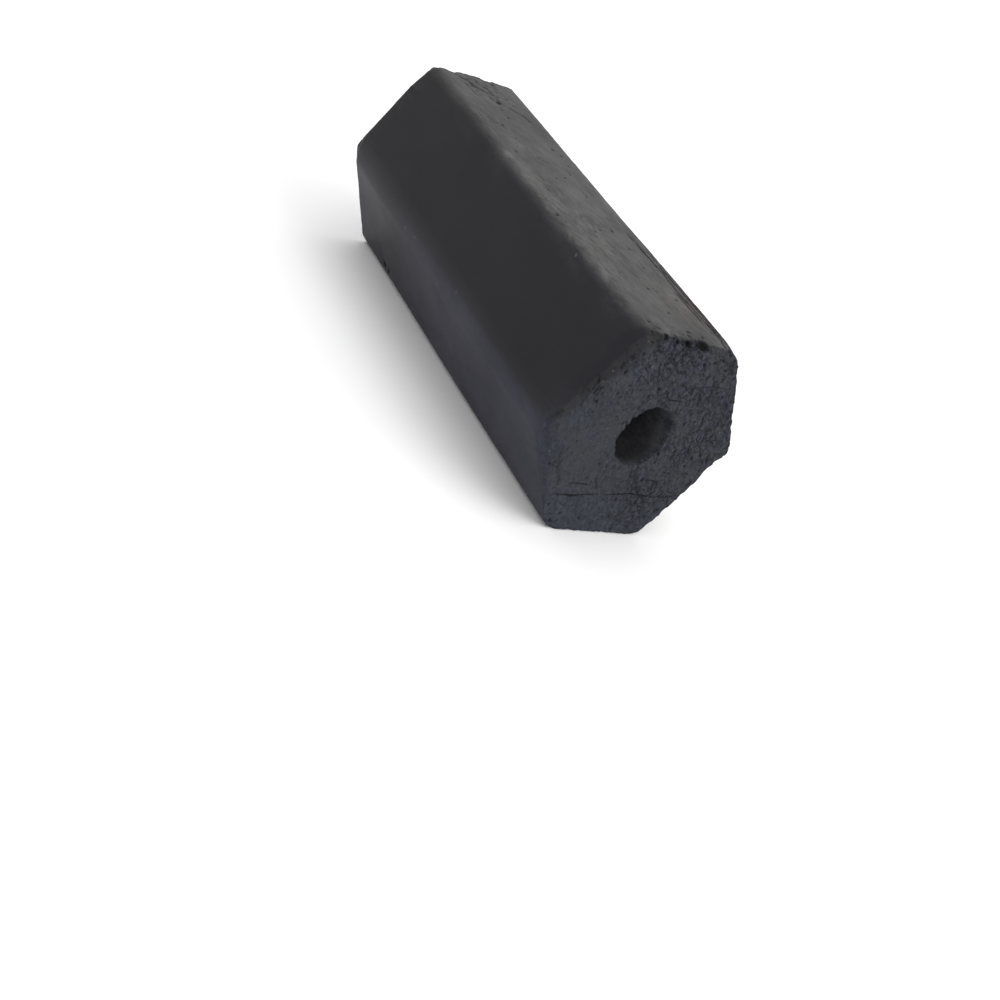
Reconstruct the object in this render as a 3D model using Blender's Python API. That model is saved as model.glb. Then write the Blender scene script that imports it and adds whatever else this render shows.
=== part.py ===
"""An extruded charcoal briquette: one solid six-sided log of pressed char with a draught hole.

It lies on one of its six flat sides, with its long axis along Y. The origin is in the middle of its
footprint, on the surface that it lies on. Metres, +Z up.
"""

import math

import bmesh
import bpy
from mathutils import Matrix, Vector, noise

# Driving sizes of the log as it leaves the die
ACROSS_FLATS = 0.045
LENGTH = 0.104
HOLE_RADIUS = 0.0065
HOLE_OFFSET = (-0.0002, 0.0008)
SIDES = 6

# Rounding of the six long corners, keyed by the angle in degrees at which each one stands round the
# axis, counted from +X towards +Z. The corner at 180 degrees is worn the most.
CORNER_RADII = {0: 0.0045, 60: 0.0040, 120: 0.0045, 180: 0.0075, 240: 0.0040, 300: 0.0050}

# Each end is cut off aslant: how far its face moves along Y for each metre of X and of Z
FRONT_SLOPE = (0.003, 0.130)
BACK_SLOPE = (0.083, 0.171)

# Broken rims of each end: angle round the axis and half width in degrees, and depth in metres
FRONT_CHIPS = ((62, 9, 0.0010), (97, 14, 0.0010), (152, 14, 0.0010), (182, 22, 0.0016), (352, 9, 0.0006))
BACK_CHIPS = ((12, 13, 0.0014), (82, 6, 0.0004), (108, 6, 0.0004), (296, 12, 0.0016), (332, 9, 0.0010))
RIM_WEAR = 0.0005
CHIP_REACH = 0.0050

# Waves of the rough end faces
END_WAVE_HEIGHT = 0.0005
END_WAVE_LENGTH = 0.009

# How finely the solid is divided: steps round each corner, cuts across each flat and each end face,
# and the distances from each end at which the log is cut across
ARC_STEPS = 5
FLAT_CUTS = 6
RING_CUTS = 6
CROSS_CUTS = (0.0012, 0.0032, 0.0070, 0.0280)

# Lengths under this are taken as nothing
TINY = 1e-7

CHARCOAL_COLOR = (0.034, 0.034, 0.038, 1.0)
CHARCOAL_ROUGHNESS = 0.72
SHARP_ANGLE = math.radians(35)


def clear_scene():
    for leftover in list(bpy.data.objects):
        bpy.data.objects.remove(leftover, do_unlink=True)


def charcoal_material():
    material = bpy.data.materials.new("charcoal")
    material.use_nodes = True
    shader = material.node_tree.nodes["Principled BSDF"]
    shader.inputs["Base Color"].default_value = CHARCOAL_COLOR
    shader.inputs["Roughness"].default_value = CHARCOAL_ROUGHNESS
    shader.inputs["Metallic"].default_value = 0.0
    return material


def angle_round_axis(point):
    """Where a point stands round the log's axis, in degrees from +X towards +Z."""
    return math.degrees(math.atan2(point.z, point.x)) % 360


def die_opening(log):
    """The outline that the char is pressed through: a hexagon with unlike rounded corners."""
    circumradius = ACROSS_FLATS / (2 * math.cos(math.pi / SIDES))
    upright = Matrix.Rotation(math.pi / 2, 4, "X")
    flat_down = Matrix.Rotation(math.pi / SIDES, 4, "Z")
    circle = bmesh.ops.create_circle(log, segments=SIDES, radius=circumradius, matrix=upright @ flat_down)
    corners = circle["verts"]
    for corner in list(corners):
        radius = CORNER_RADII[round(angle_round_axis(corner.co)) % 360]
        bmesh.ops.bevel(
            log,
            geom=[corner],
            offset=radius * math.tan(math.pi / SIDES),
            segments=ARC_STEPS,
            profile=0.5,
            affect="VERTICES",
            material=-1,
        )
    flats = [edge for edge in log.edges if edge.calc_length() > ACROSS_FLATS / 4]
    bmesh.ops.subdivide_edges(log, edges=flats, cuts=FLAT_CUTS)


def ring_section(log):
    """The log's cross-section: the die's opening, less the round draught hole."""
    centre = Vector((HOLE_OFFSET[0], 0, HOLE_OFFSET[1]))
    drawn_in = bmesh.ops.extrude_edge_only(log, edges=log.edges[:])["geom"]
    hole_rim = [part for part in drawn_in if isinstance(part, bmesh.types.BMVert)]
    spokes = [edge for vert in hole_rim for edge in vert.link_edges if edge.calc_length() < TINY]
    for vert in hole_rim:
        vert.co = centre + (vert.co - centre).normalized() * HOLE_RADIUS
    bmesh.ops.subdivide_edges(log, edges=spokes, cuts=RING_CUTS, use_grid_fill=True)


def press_log(log):
    """Pushes the cross-section out to the log's length, from its front end at -Y to its back end."""
    bmesh.ops.translate(log, verts=log.verts[:], vec=(0, -LENGTH / 2, 0))
    pushed = bmesh.ops.extrude_face_region(log, geom=log.faces[:])["geom"]
    back_verts = [part for part in pushed if isinstance(part, bmesh.types.BMVert)]
    bmesh.ops.translate(log, verts=back_verts, vec=(0, LENGTH, 0))
    for inset in CROSS_CUTS:
        for station in (inset - LENGTH / 2, LENGTH / 2 - inset):
            everything = log.verts[:] + log.edges[:] + log.faces[:]
            bmesh.ops.bisect_plane(log, geom=everything, plane_co=(0, station, 0), plane_no=(0, 1, 0))
    bmesh.ops.recalc_face_normals(log, faces=log.faces[:])


def depth_under_sides(point):
    """How far a point lies inside the nearest of the six flat sides."""
    reach = 0.0
    for side in range(SIDES):
        outward = 2 * math.pi * (side + 0.5) / SIDES
        reach = max(reach, point.x * math.cos(outward) + point.z * math.sin(outward))
    return ACROSS_FLATS / 2 - reach


def rim_loss(point, chips):
    """How deep the rim has broken away at a point's place round the axis."""
    loss = RIM_WEAR
    for middle, half_width, depth in chips:
        away = abs((angle_round_axis(point) - middle + 180) % 360 - 180) / half_width
        if away < 1:
            loss += depth * (1 - away * away) ** 2
    return loss


def worn_and_cut(point):
    """Moves one point of the straight log to where the broken rims and slanted ends put it."""
    front = point.y < 0
    inward = 1 if front else -1
    from_end = LENGTH / 2 - abs(point.y)
    near_rim = max(0.0, 1 - math.hypot(from_end, depth_under_sides(point)) / CHIP_REACH) ** 2
    loss = near_rim * rim_loss(point, FRONT_CHIPS if front else BACK_CHIPS)
    across = Vector((point.x, 0, point.z))
    worn = point - across.normalized() * loss
    worn.y += inward * loss
    if from_end < TINY:
        worn.y += END_WAVE_HEIGHT * noise.noise(point / END_WAVE_LENGTH)
    back_share = point.y / LENGTH + 0.5
    slope_x = FRONT_SLOPE[0] + (BACK_SLOPE[0] - FRONT_SLOPE[0]) * back_share
    slope_z = FRONT_SLOPE[1] + (BACK_SLOPE[1] - FRONT_SLOPE[1]) * back_share
    worn.y += slope_x * worn.x + slope_z * worn.z
    return worn


def set_down(log):
    """Puts the middle of the footprint at the origin, with the lowest side on the surface."""
    lows = [min(vert.co[axis] for vert in log.verts) for axis in range(3)]
    highs = [max(vert.co[axis] for vert in log.verts) for axis in range(3)]
    shift = Vector((-(lows[0] + highs[0]) / 2, -(lows[1] + highs[1]) / 2, -lows[2]))
    bmesh.ops.translate(log, verts=log.verts[:], vec=shift)


def make_briquette(collection):
    log = bmesh.new()
    die_opening(log)
    ring_section(log)
    press_log(log)
    for vert in log.verts:
        vert.co = worn_and_cut(vert.co)
    set_down(log)
    mesh = bpy.data.meshes.new("briquette")
    log.to_mesh(mesh)
    log.free()
    mesh.shade_smooth()
    mesh.set_sharp_from_angle(angle=SHARP_ANGLE)
    mesh.materials.append(charcoal_material())
    briquette = bpy.data.objects.new("briquette", mesh)
    collection.objects.link(briquette)
    return briquette


def main():
    clear_scene()
    collection = bpy.data.collections.new("charcoal briquette")
    bpy.context.scene.collection.children.link(collection)
    make_briquette(collection)


main()
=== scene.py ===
"""The looks of an extruded charcoal briquette, laid out as a Blender add-on.

The frame holds the briquette's plain solid. Here it gets its crumbled rims, rough cut ends, scuffed
corners, cracks and pits as geometry, its char finish as a material, and a pale studio with the
camera. Metres, +Z up.
"""

import math
import random

import bmesh
import bpy
from mathutils import Euler, Matrix, Vector, kdtree, noise


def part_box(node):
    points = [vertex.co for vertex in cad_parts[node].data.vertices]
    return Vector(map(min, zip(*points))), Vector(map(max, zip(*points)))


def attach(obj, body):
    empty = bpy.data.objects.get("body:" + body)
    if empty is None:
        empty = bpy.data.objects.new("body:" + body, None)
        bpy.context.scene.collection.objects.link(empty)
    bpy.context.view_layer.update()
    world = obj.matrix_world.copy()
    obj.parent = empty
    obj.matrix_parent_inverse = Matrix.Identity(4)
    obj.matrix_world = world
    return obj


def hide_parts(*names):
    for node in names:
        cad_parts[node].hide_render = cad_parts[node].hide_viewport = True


bl_info = {
    "name": "Charcoal Briquette",
    "version": (1, 0, 0),
    "blender": (4, 5, 0),
    "location": "View3D > Sidebar > Briquette",
    "description": "Models one extruded charcoal briquette with a draught hole, and its studio",
    "category": "Add Mesh",
}

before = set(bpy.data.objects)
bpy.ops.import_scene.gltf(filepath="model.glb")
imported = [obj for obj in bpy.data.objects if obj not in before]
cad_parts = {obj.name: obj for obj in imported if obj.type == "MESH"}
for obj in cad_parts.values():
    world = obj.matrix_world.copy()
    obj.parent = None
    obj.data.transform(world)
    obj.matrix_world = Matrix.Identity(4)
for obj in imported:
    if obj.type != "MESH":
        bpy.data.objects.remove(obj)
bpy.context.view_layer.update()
LOW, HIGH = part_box("briquette")

MM = 0.001
SIDES = 6

# Lengths under this are taken as nothing
TINY = 1e-7

# How far apart the points are between the hole and the sides, as a share of the grid's spacing
END_SPACING = 0.65

# The log's middle, between its ends and on its axis, the hole's axis from there in X and Z, and the
# middle of the rusty stain
LOG_MIDDLE = Vector((-0.00026, -0.00079, (LOW[2] + HIGH[2]) / 2))
HOLE_OFFSET = (-0.0002, 0.0008)
RUST_PLACE = LOG_MIDDLE + Vector((0.0093, -0.035, 0.0225))

# Rounding of the six long corners in mm, keyed by the angle in degrees at which each one stands
# round the axis, counted from +X towards +Z. The flat sides face 30, 90, 150, 210, 270 and 330.
CORNER_RADII = {0: 4.5, 60: 4.0, 120: 3.8, 180: 7.5, 240: 4.0, 300: 5.0}

# How far each end's face moves along Y for each metre of X and of Z
FRONT_SLOPE = (0.003, 0.130)
BACK_SLOPE = (0.083, 0.171)

# Broken rims of each end: angle round the axis and half width in degrees, and depth in mm
FRONT_CHIPS = (
    (62, 9, 1.0),
    (97, 14, 1.0),
    (152, 14, 1.0),
    (182, 22, 1.6),
    (240, 8, 0.35),
    (352, 14, 0.4),
)
BACK_CHIPS = ((12, 13, 1.4), (82, 6, 0.4), (108, 6, 0.4), (296, 12, 1.6), (332, 9, 1.0))
CHIP_REACH = 5.0

# Rounding of the rims in mm: the least, the usual, and what ragged and chipped places add to it
LEAST_ROUNDING = 0.3
RIM_ROUNDING = 0.5
RAGGED_ROUNDING = 0.35
CHIP_ROUNDING = 0.3

# How ragged the rim of each flat side is, from 0 to 1, at each end
FRONT_RAGGED = {30: 0.35, 90: 1.00, 150: 0.45, 210: 0.15, 270: 0.35, 330: 0.20}
BACK_RAGGED = {30: 0.60, 90: 0.25, 150: 0.05, 210: 0.12, 270: 0.50, 330: 0.55}

# Rims rubbed round and smooth: angle round the axis and half width in degrees, and radius in mm
FRONT_RUBBED = ((131, 26, 4.1), (152, 42, 2.3), (192, 34, 2.8))
BACK_RUBBED = ((180, 50, 1.3), (120, 16, 1.0))

# Where smooth skin reaches over the rim on to an end face: angle and half width, and reach in mm
FRONT_COVER = ((128, 28, 5.8), (160, 28, 2.6), (196, 34, 3.2))
BACK_COVER = ((180, 50, 1.7), (120, 16, 1.3))

# Where the front rim's skin has worn as pale as the cut: angle, half width and share, and how far
# that reaches along the sides in mm
FRONT_PALED = (196, 42, 0.75)
PALED_REACH = 7.0

# Where each cut is rubbed smoother: angle, half width and how much, from 0 to 1
END_SMOOTHED = ((188, 80, 0.60), (255, 55, 0.40))

# The hole's mouths: how far in mm they are worn, and where and how deep in mm the front one is rubbed
# away: angle in the hole and half width, and depth
MOUTH_REACH = 2.0
MOUTH_RUBBED = (35, 80)
MOUTH_RUB_DEPTH = 0.7

# The bore: how many times it is cut across; how much painted light makes its walls paler at the
# mouths, rising to the full amount deep inside; how broken its mouths are; how much painted shade
# darkens its lower side; and how far in mm from an end it changes from mouth to inside
BORE_CUTS = 40
BORE_PAINTED_LIGHT = 0.75
BORE_BROKEN = 0.35
BORE_PAINTED_SHADE = 0.75
BORE_DEEP = (2.0, 9.0)

# Heights in mm of the relief: of the skin, of its worn patches, of the cut ends and of the bore
SKIN_WAVES = 0.16
SKIN_LINES = 0.006
COARSE_LINES = 0.008
COARSE_LUMPS = 0.030
WORN_LUMPS = 0.10
WORN_RIDGES = 0.09
WORN_DEPTH = 0.07
END_WAVES = 0.30
END_CRUMBS = 0.13
END_CRACKS = 0.14
BORE_LUMPS = 0.08
BORE_LINES = 0.02

# How much painted shade darkens the fine cracks of the cut ends, from 0 to 1, and where in the noise
# their bends along X, Y and Z are drawn from
CRACKLE_PAINTED_SHADE = 0.58
BEND_DRAWS = (Vector((9.3, -1.5, -31.4)), Vector((-7.2, 5.9, 4.1)), Vector((2.6, 12.8, -8.5)))

# How coarse the pressed skin is on each flat side; how bluish it is there and, as painted light, how
# pale, mostly on the sides facing down and the lower-left one most; from where to where in mm along the
# log the bluish tint and painted light fade towards the back and by how much; and how scuffed each long
# corner is, from 0 to 1
SKIN_COARSENESS = {30: 0.75, 90: 0.80, 150: 0.02, 210: 0.16, 270: 0.35, 330: 0.65}
SKIN_BLUENESS_AND_PAINTED_LIGHT = {30: 0.15, 90: 0.0, 150: 0.22, 210: 1.0, 270: 0.45, 330: 0.30}
BLUE_FADE = (-30.0, 50.0)
BLUE_FADED = 0.6
FAR_DARKENING = (-5.0, 45.0)
FAR_DARKNESS = 0.38
CORNER_SCUFF = {0: 0.60, 60: 0.30, 120: 0.25, 180: 0.0, 240: 0.50, 300: 0.60}

# Worn patches: side, across and along the log in mm, half width and half length in mm, and strength
PATCHES = (
    (90, 1.0, 45.0, 9.0, 9.0, 1.8),
    (90, 11.3, 31.0, 1.9, 3.4, 0.9),
    (90, 11.6, 12.5, 1.7, 2.6, 0.8),
    (90, 11.2, 1.5, 2.1, 4.0, 0.9),
    (90, 11.5, -9.0, 1.7, 2.6, 0.8),
    (90, 11.4, -20.0, 2.1, 4.0, 0.9),
    (90, 11.2, -33.0, 2.0, 3.0, 0.8),
    (90, 8.0, 27.0, 4.5, 9.0, 1.0),
    (90, 6.0, 20.0, 4.0, 4.0, 0.8),
    (90, 8.0, -3.0, 4.5, 12.0, 1.0),
    (90, 5.5, -18.0, 5.0, 8.0, 0.9),
    (90, 8.5, -31.0, 4.0, 9.0, 0.7),
    (90, -6.0, -38.0, 5.0, 9.0, 0.4),
    (90, 6.0, -48.0, 7.0, 3.5, 0.8),
    (30, 2.0, -30.0, 7.0, 12.0, 0.8),
    (330, -3.0, 18.0, 7.0, 14.0, 0.7),
    (270, 4.0, 30.0, 6.0, 12.0, 0.6),
)

# Patches where the skin is made smoother and darker, given in the same way
SMOOTH_PATCHES = (
    (90, 11.2, -50.5, 4.8, 8.0, 0.85),
    (90, 6.5, 31.0, 5.0, 10.0, 0.42),
    (90, 9.5, 18.0, 3.0, 5.0, 0.30),
    (90, 8.0, -14.0, 4.0, 6.0, 0.22),
    (90, 2.0, -48.0, 13.0, 8.0, 0.46),
    (90, 1.0, 45.0, 12.0, 10.0, 0.34),
    (90, 0.0, 34.0, 14.0, 8.0, 0.30),
)

# Patches rubbed paler than the rest of their side, given in the same way
PALE_PATCHES = (
    (90, -0.9, 21.5, 5.0, 7.0, 0.24),
    (90, 0.0, -8.0, 9.0, 20.0, 0.22),
)

# Pits in the skin: side, across and along in mm, radius and depth in mm
SIDE_PITS = (
    (90, -0.8, 39.6, 0.9, 0.50),
    (210, 9.2, 36.3, 0.8, 0.40),
    (210, 9.6, 33.8, 0.6, 0.35),
    (30, -4.0, 12.0, 0.8, 0.45),
    (330, 5.0, -22.0, 0.9, 0.50),
)

# Deep bites in the front rim of the top side, with the way they go, down and back: across and along
# in mm, radius and depth in mm
TOP_SIDE = 90
INTO_TOP_RIM = Vector((0.0, 0.70, -0.71))
RIM_BITES = (
    (-2.8, -51.8, 1.35, 1.1),
    (-2.0, -52.0, 1.05, 0.9),
    (0.5, -51.7, 0.85, 0.8),
    (0.3, -52.0, 0.60, 0.6),
    (3.6, -51.8, 0.65, 0.6),
    (5.0, -51.6, 0.50, 0.5),
    (7.3, -51.4, 0.75, 0.7),
    (7.6, -52.0, 0.65, 0.6),
)

# Patches of crumbs at the rims: where, place in mm, spread in mm and number of crumbs
CRUMB_PATCHES = (
    ("front", -13.6, 18.2, 1.7, 22),
    ("front", -14.0, 15.2, 1.5, 18),
    ("front", -17.2, 10.4, 1.5, 16),
    ("front", -17.8, 7.4, 1.3, 14),
    ("front", -8.4, 20.6, 1.6, 20),
    ("front", -1.0, 20.8, 2.0, 22),
    ("front", 8.4, 20.4, 1.6, 14),
    ("front", -11.6, -20.8, 1.6, 14),
    ("front", -18.9, -8.0, 1.4, 14),
    (90, 9.5, -50.6, 1.6, 20),
    (90, 4.5, -50.9, 1.6, 16),
    (90, -1.0, -50.9, 1.8, 18),
    (90, 2.0, 46.0, 3.0, 18),
    ("front", 12.2, 20.0, 1.6, 18),
    ("front", 14.6, 16.6, 1.4, 14),
)

# Patches of pale bared grains: side, across and along in mm, spread in mm and number of grains
GRAIN_PATCHES = (
    (90, 1.0, 45.5, 4.0, 28),
    (90, -2.0, 38.0, 3.0, 20),
    (90, 10.5, 30.0, 2.0, 14),
    (90, 10.0, 10.0, 2.0, 10),
    (90, 10.5, -5.0, 2.6, 14),
    (90, 9.5, -20.0, 2.6, 14),
    (90, 6.0, -47.5, 3.0, 12),
    (90, -9.5, -47.0, 2.5, 18),
    (30, 10.0, -48.0, 2.5, 18),
)

# Small bright nicks: side, across and along in mm
NICKS = (
    (150, 12.2, -7.5),
    (150, 13.2, 14.9),
    (150, 13.6, 19.9),
    (210, -9.0, 1.2),
    (150, -11.8, -24.5),
    (150, 13.0, -50.6),
    (330, 2.0, 5.0),
    (30, 6.0, 31.0),
)

# Cracks: where, points across and along in mm on a side or in X and Z on an end, half width and depth
CRACKS = (
    (90, ((-0.8, 39.6), (-3.2, 38.2), (-6.4, 35.6), (-7.6, 32.5)), 0.30, 0.22),
    (90, ((7.0, 49.5), (4.6, 47.4), (3.0, 45.2), (0.4, 43.4)), 0.30, 0.16),
    (90, ((4.0, 50.5), (2.4, 48.0), (-0.6, 46.6)), 0.30, 0.14),
    (90, ((1.5, 44.8), (-1.0, 41.8), (-2.2, 38.6)), 0.30, 0.16),
    (90, ((-8.6, -12.0), (-9.3, -24.0), (-9.0, -36.0), (-9.6, -51.0)), 0.32, 0.25),
    (90, ((-10.2, -18.0), (-10.6, -32.0), (-10.9, -51.5)), 0.34, 0.50),
    (90, ((-11.3, -8.0), (-11.6, -27.0), (-11.3, -51.5)), 0.34, 0.50),
    (90, ((-12.2, -14.0), (-11.9, -36.0), (-12.3, -51.5)), 0.34, 0.45),
    (90, ((-9.9, -43.0), (-10.2, -51.5)), 0.32, 0.40),
    (30, ((11.6, -51.5), (12.0, -30.0), (11.7, 2.0)), 0.34, 0.45),
    (30, ((10.8, -51.5), (10.9, -38.0)), 0.34, 0.40),
    (90, ((-7.9, -33.0), (-8.2, -44.0)), 0.30, 0.30),
    (30, ((8.0, -51.5), (7.4, -38.0), (7.9, -20.0)), 0.32, 0.30),
    (30, ((-2.0, 51.5), (-1.2, 38.0), (-2.4, 26.0)), 0.32, 0.35),
    (330, ((3.0, 51.5), (4.2, 36.0), (3.4, 22.0)), 0.32, 0.35),
    (270, ((-5.0, -51.5), (-4.2, -40.0)), 0.32, 0.25),
    (
        "front",
        ((-15.4, -14.4), (-12.6, -14.0), (-9.6, -14.1), (-6.4, -13.4), (-3.6, -13.5)),
        0.22,
        0.45,
    ),
    ("front", ((-12.0, -14.0), (-10.4, -14.1), (-9.0, -14.0)), 0.34, 0.60),
    ("front", ((-2.4, -13.2), (1.2, -13.0), (4.4, -12.5), (7.4, -12.8)), 0.22, 0.28),
    ("front", ((9.6, -12.4), (13.2, -12.2), (17.2, -11.8)), 0.22, 0.25),
    ("front", ((-12.8, -11.2), (-9.8, -11.0), (-7.2, -11.2)), 0.20, 0.20),
    ("front", ((-19.1, -4.6), (-18.0, -7.0), (-16.4, -9.6), (-14.9, -12.2)), 0.50, 0.07),
    ("front", ((-6.4, -9.4), (-5.6, -10.6), (-5.0, -12.4)), 0.22, 0.20),
    (
        "front",
        ((5.2, -10.4), (6.8, -12.4), (9.2, -12.6), (10.9, -11.0), (9.8, -9.0), (6.8, -8.6)),
        0.22,
        0.24,
    ),
    ("front", ((1.0, 10.0), (2.9, 10.2), (4.6, 10.0)), 0.24, 0.26),
    ("front", ((2.8, 13.0), (9.0, 14.0), (15.6, 14.7)), 0.20, 0.16),
    ("front", ((11.2, 2.4), (13.6, 4.2), (12.8, 7.4), (14.6, 9.0)), 0.22, 0.24),
    ("front", ((12.5, -2.4), (13.8, -0.4), (13.0, 1.8)), 0.22, 0.24),
    ("back", ((-6.8, 2.0), (-10.4, 4.0), (-15.0, 5.0), (-21.0, 8.6)), 0.30, 0.50),
    ("back", ((3.4, -5.6), (6.8, -9.6), (8.4, -15.0), (10.8, -19.5)), 0.30, 0.50),
    ("back", ((4.0, 6.2), (6.0, 11.0), (5.4, 16.0)), 0.28, 0.40),
)

# How finely a crack is stepped out, and how far it wanders across and along, in mm
CRACK_STEP = 0.12
CRACK_WANDER = (0.45, 0.30)

# Chance details: the seed, how many there are on each cut end and on the skin, and the sides that the
# skin's are on
CHANCE_SEED = 41
END_PITS = 430
END_GRAINS = 170
SKIN_PITS = 120
SKIN_FLECKS = 120
PITTED_SIDES = (30, 90, 90, 330, 270, 30)
FLECKED_SIDES = (30, 90, 90, 330, 270)

# The floor's half width in metres, and the soft lights: the way to each, its width in degrees and its
# colour
FLOOR_HALF = 8.0
KEY_LIGHT = ((0.50, -0.62, 0.60), 50, (1.0, 0.985, 0.96))
FILL_LIGHT = ((-0.75, -0.45, 0.35), 60, (1.0, 1.0, 1.0))
TOP_LIGHT = ((0.35, 0.35, 0.87), 70, (1.0, 1.0, 1.0))

# The camera's place from the log's middle, its turn in degrees and its lens, in the photo's view
CAMERA_PLACE = Vector((-0.18530, -0.20713, 0.11022))
CAMERA_TURN = (55.503, -28.022, -28.055)
CAMERA_LENS = 47.73


def smooth_step(low, high, value):
    share = min(1.0, max(0.0, (value - low) / (high - low)))
    return share * share * (3 - 2 * share)


def grain(point, across_mm, along_mm, seed=0.0):
    """Noise from -1 to 1 whose lumps are so wide across the log and so long along it."""
    across = across_mm * MM
    along = along_mm * MM
    return noise.noise(Vector((point.x / across + seed, point.y / along, point.z / across - seed)))


def crumble(point, size_mm, octaves=3, seed=0.0):
    """Rough noise of even lumps, with finer ones on them."""
    scaled = point / (size_mm * MM) + Vector((seed, -seed, 2 * seed))
    return noise.fractal(scaled, 0.7, 2.1, octaves)


def angle_round_axis(point):
    return math.degrees(math.atan2(point.z, point.x)) % 360


def side_axes(side):
    """The directions out of one flat side and across it, the latter towards larger angles."""
    turn = math.radians(side)
    outward = Vector((math.cos(turn), 0, math.sin(turn)))
    across = Vector((-math.sin(turn), 0, math.cos(turn)))
    return outward, across


SIDE_AXES = {side: side_axes(side) for side in SKIN_COARSENESS}


def number_setting(name, description, default, unit="NONE"):
    return bpy.props.FloatProperty(name=name, description=description, default=default, unit=unit)


def color_setting(name, description, default):
    return bpy.props.FloatVectorProperty(
        name=name, description=description, default=default, subtype="COLOR"
    )


class BriquetteSizes(bpy.types.PropertyGroup):
    """Sizes of the log"""

    across_flats: number_setting(
        "Across flats",
        "Width of the log between two opposite flat sides",
        HIGH[2] - LOW[2],
        "LENGTH",
    )
    length: number_setting("Length", "Length of the log along its axis", 0.104, "LENGTH")
    hole_radius: number_setting("Hole radius", "Radius of the draught hole", 0.0065, "LENGTH")
    grid: number_setting(
        "Grid", "Spacing of the surface's points before it is thinned", 0.00031, "LENGTH"
    )
    face_limit: bpy.props.IntProperty(
        name="Face limit",
        description="Most triangles that the finished log may have",
        default=194000,
    )


class CharFinish(bpy.types.PropertyGroup):
    """Colours of the char"""

    skin: color_setting("Skin", "Colour of the smooth pressed sides", (0.009, 0.0088, 0.0096))
    # A bluish tint of the char, paler too as painted light on the sides facing down
    blue_painted_lit_skin: color_setting(
        "Blue skin",
        "Colour of the smooth sides that burnt to a bluish sheen",
        (0.0192, 0.0192, 0.0360),
    )
    scuffed: color_setting("Scuffed", "Colour of coarse and rubbed skin", (0.125, 0.125, 0.124))
    broken: color_setting("Broken", "Colour of the cut ends", (0.079, 0.083, 0.097))
    blue_broken: color_setting(
        "Blue broken", "Colour of the bluish patches of the cut ends", (0.080, 0.089, 0.120)
    )
    rust: color_setting("Rust", "Colour of the faint rusty stain", (0.13, 0.075, 0.055))
    # Near black: painted shade deep in pits and cracks, and the darkest tone of the grains and specks
    black_and_crevice_shade: color_setting("Crevice", "Colour deep in pits and cracks", (0.006, 0.006, 0.007))
    fleck: color_setting("Fleck", "Colour of ashy flecks and bruised grains", (0.19, 0.19, 0.19))


class StudioLight(bpy.types.PropertyGroup):
    """The floor and the light"""

    floor: color_setting("Floor", "Colour of the pale floor", (0.95, 0.95, 0.95))
    ambient: number_setting("Ambient", "Brightness of the light from all round", 1.0)
    key: number_setting("Key", "Strength of the soft main light", 0.80)
    fill: number_setting(
        "Fill", "Strength of the soft light from the left, which lightens the shadow", 0.10
    )
    top: number_setting("Top", "Strength of the soft light from above and behind", 0.60)


def die_opening(log, sizes):
    """The outline that the char is pressed through: a hexagon with unlike rounded corners."""
    circumradius = sizes.across_flats / (2 * math.cos(math.pi / SIDES))
    upright = Matrix.Rotation(math.pi / 2, 4, "X")
    flat_down = Matrix.Rotation(math.pi / SIDES, 4, "Z")
    matrix = upright @ flat_down
    circle = bmesh.ops.create_circle(log, segments=SIDES, radius=circumradius, matrix=matrix)
    for corner in list(circle["verts"]):
        radius = CORNER_RADII[round(angle_round_axis(corner.co)) % 360] * MM
        bmesh.ops.bevel(
            log,
            geom=[corner],
            offset=radius * math.tan(math.pi / SIDES),
            segments=max(2, round(radius * math.pi / 3 / sizes.grid)),
            profile=0.5,
            affect="VERTICES",
            material=-1,
        )
    flats = [edge for edge in log.edges if edge.calc_length() > sizes.across_flats / 4]
    for flat in flats:
        bmesh.ops.subdivide_edges(log, edges=[flat], cuts=round(flat.calc_length() / sizes.grid))


def ring_section(log, sizes):
    """The log's cross-section: the die's opening, less the round draught hole."""
    centre = Vector((HOLE_OFFSET[0], 0, HOLE_OFFSET[1]))
    drawn_in = bmesh.ops.extrude_edge_only(log, edges=log.edges[:])["geom"]
    hole_rim = [part for part in drawn_in if isinstance(part, bmesh.types.BMVert)]
    spokes = [edge for vert in hole_rim for edge in vert.link_edges if edge.calc_length() < TINY]
    for vert in hole_rim:
        vert.co = centre + (vert.co - centre).normalized() * sizes.hole_radius
    cuts = round((sizes.across_flats / 2 - sizes.hole_radius) / (END_SPACING * sizes.grid))
    bmesh.ops.subdivide_edges(log, edges=spokes, cuts=cuts, use_grid_fill=True)


def press_log(log, sizes):
    """Pushes the cross-section out to the log's length and divides its sides and its bore."""
    bmesh.ops.translate(log, verts=log.verts[:], vec=(0, -sizes.length / 2, 0))
    pushed = bmesh.ops.extrude_face_region(log, geom=log.faces[:])["geom"]
    back_verts = [part for part in pushed if isinstance(part, bmesh.types.BMVert)]
    bmesh.ops.translate(log, verts=back_verts, vec=(0, sizes.length, 0))
    bore_edges = []
    skin_edges = []
    for edge in log.edges:
        if edge.calc_length() > sizes.length * 0.99:
            (bore_edges if in_bore(edge.verts[0].co, sizes) else skin_edges).append(edge)
    skin_cuts = round(sizes.length / sizes.grid)
    bmesh.ops.subdivide_edges(log, edges=skin_edges, cuts=skin_cuts, use_grid_fill=True)
    bmesh.ops.subdivide_edges(log, edges=bore_edges, cuts=BORE_CUTS, use_grid_fill=True)
    bmesh.ops.recalc_face_normals(log, faces=log.faces[:])


def angle_in_hole(point):
    return math.degrees(math.atan2(point.z - HOLE_OFFSET[1], point.x - HOLE_OFFSET[0]))


def from_hole_axis(point):
    return math.hypot(point.x - HOLE_OFFSET[0], point.z - HOLE_OFFSET[1])


def in_bore(point, sizes):
    return from_hole_axis(point) < sizes.hole_radius * 1.01


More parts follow.
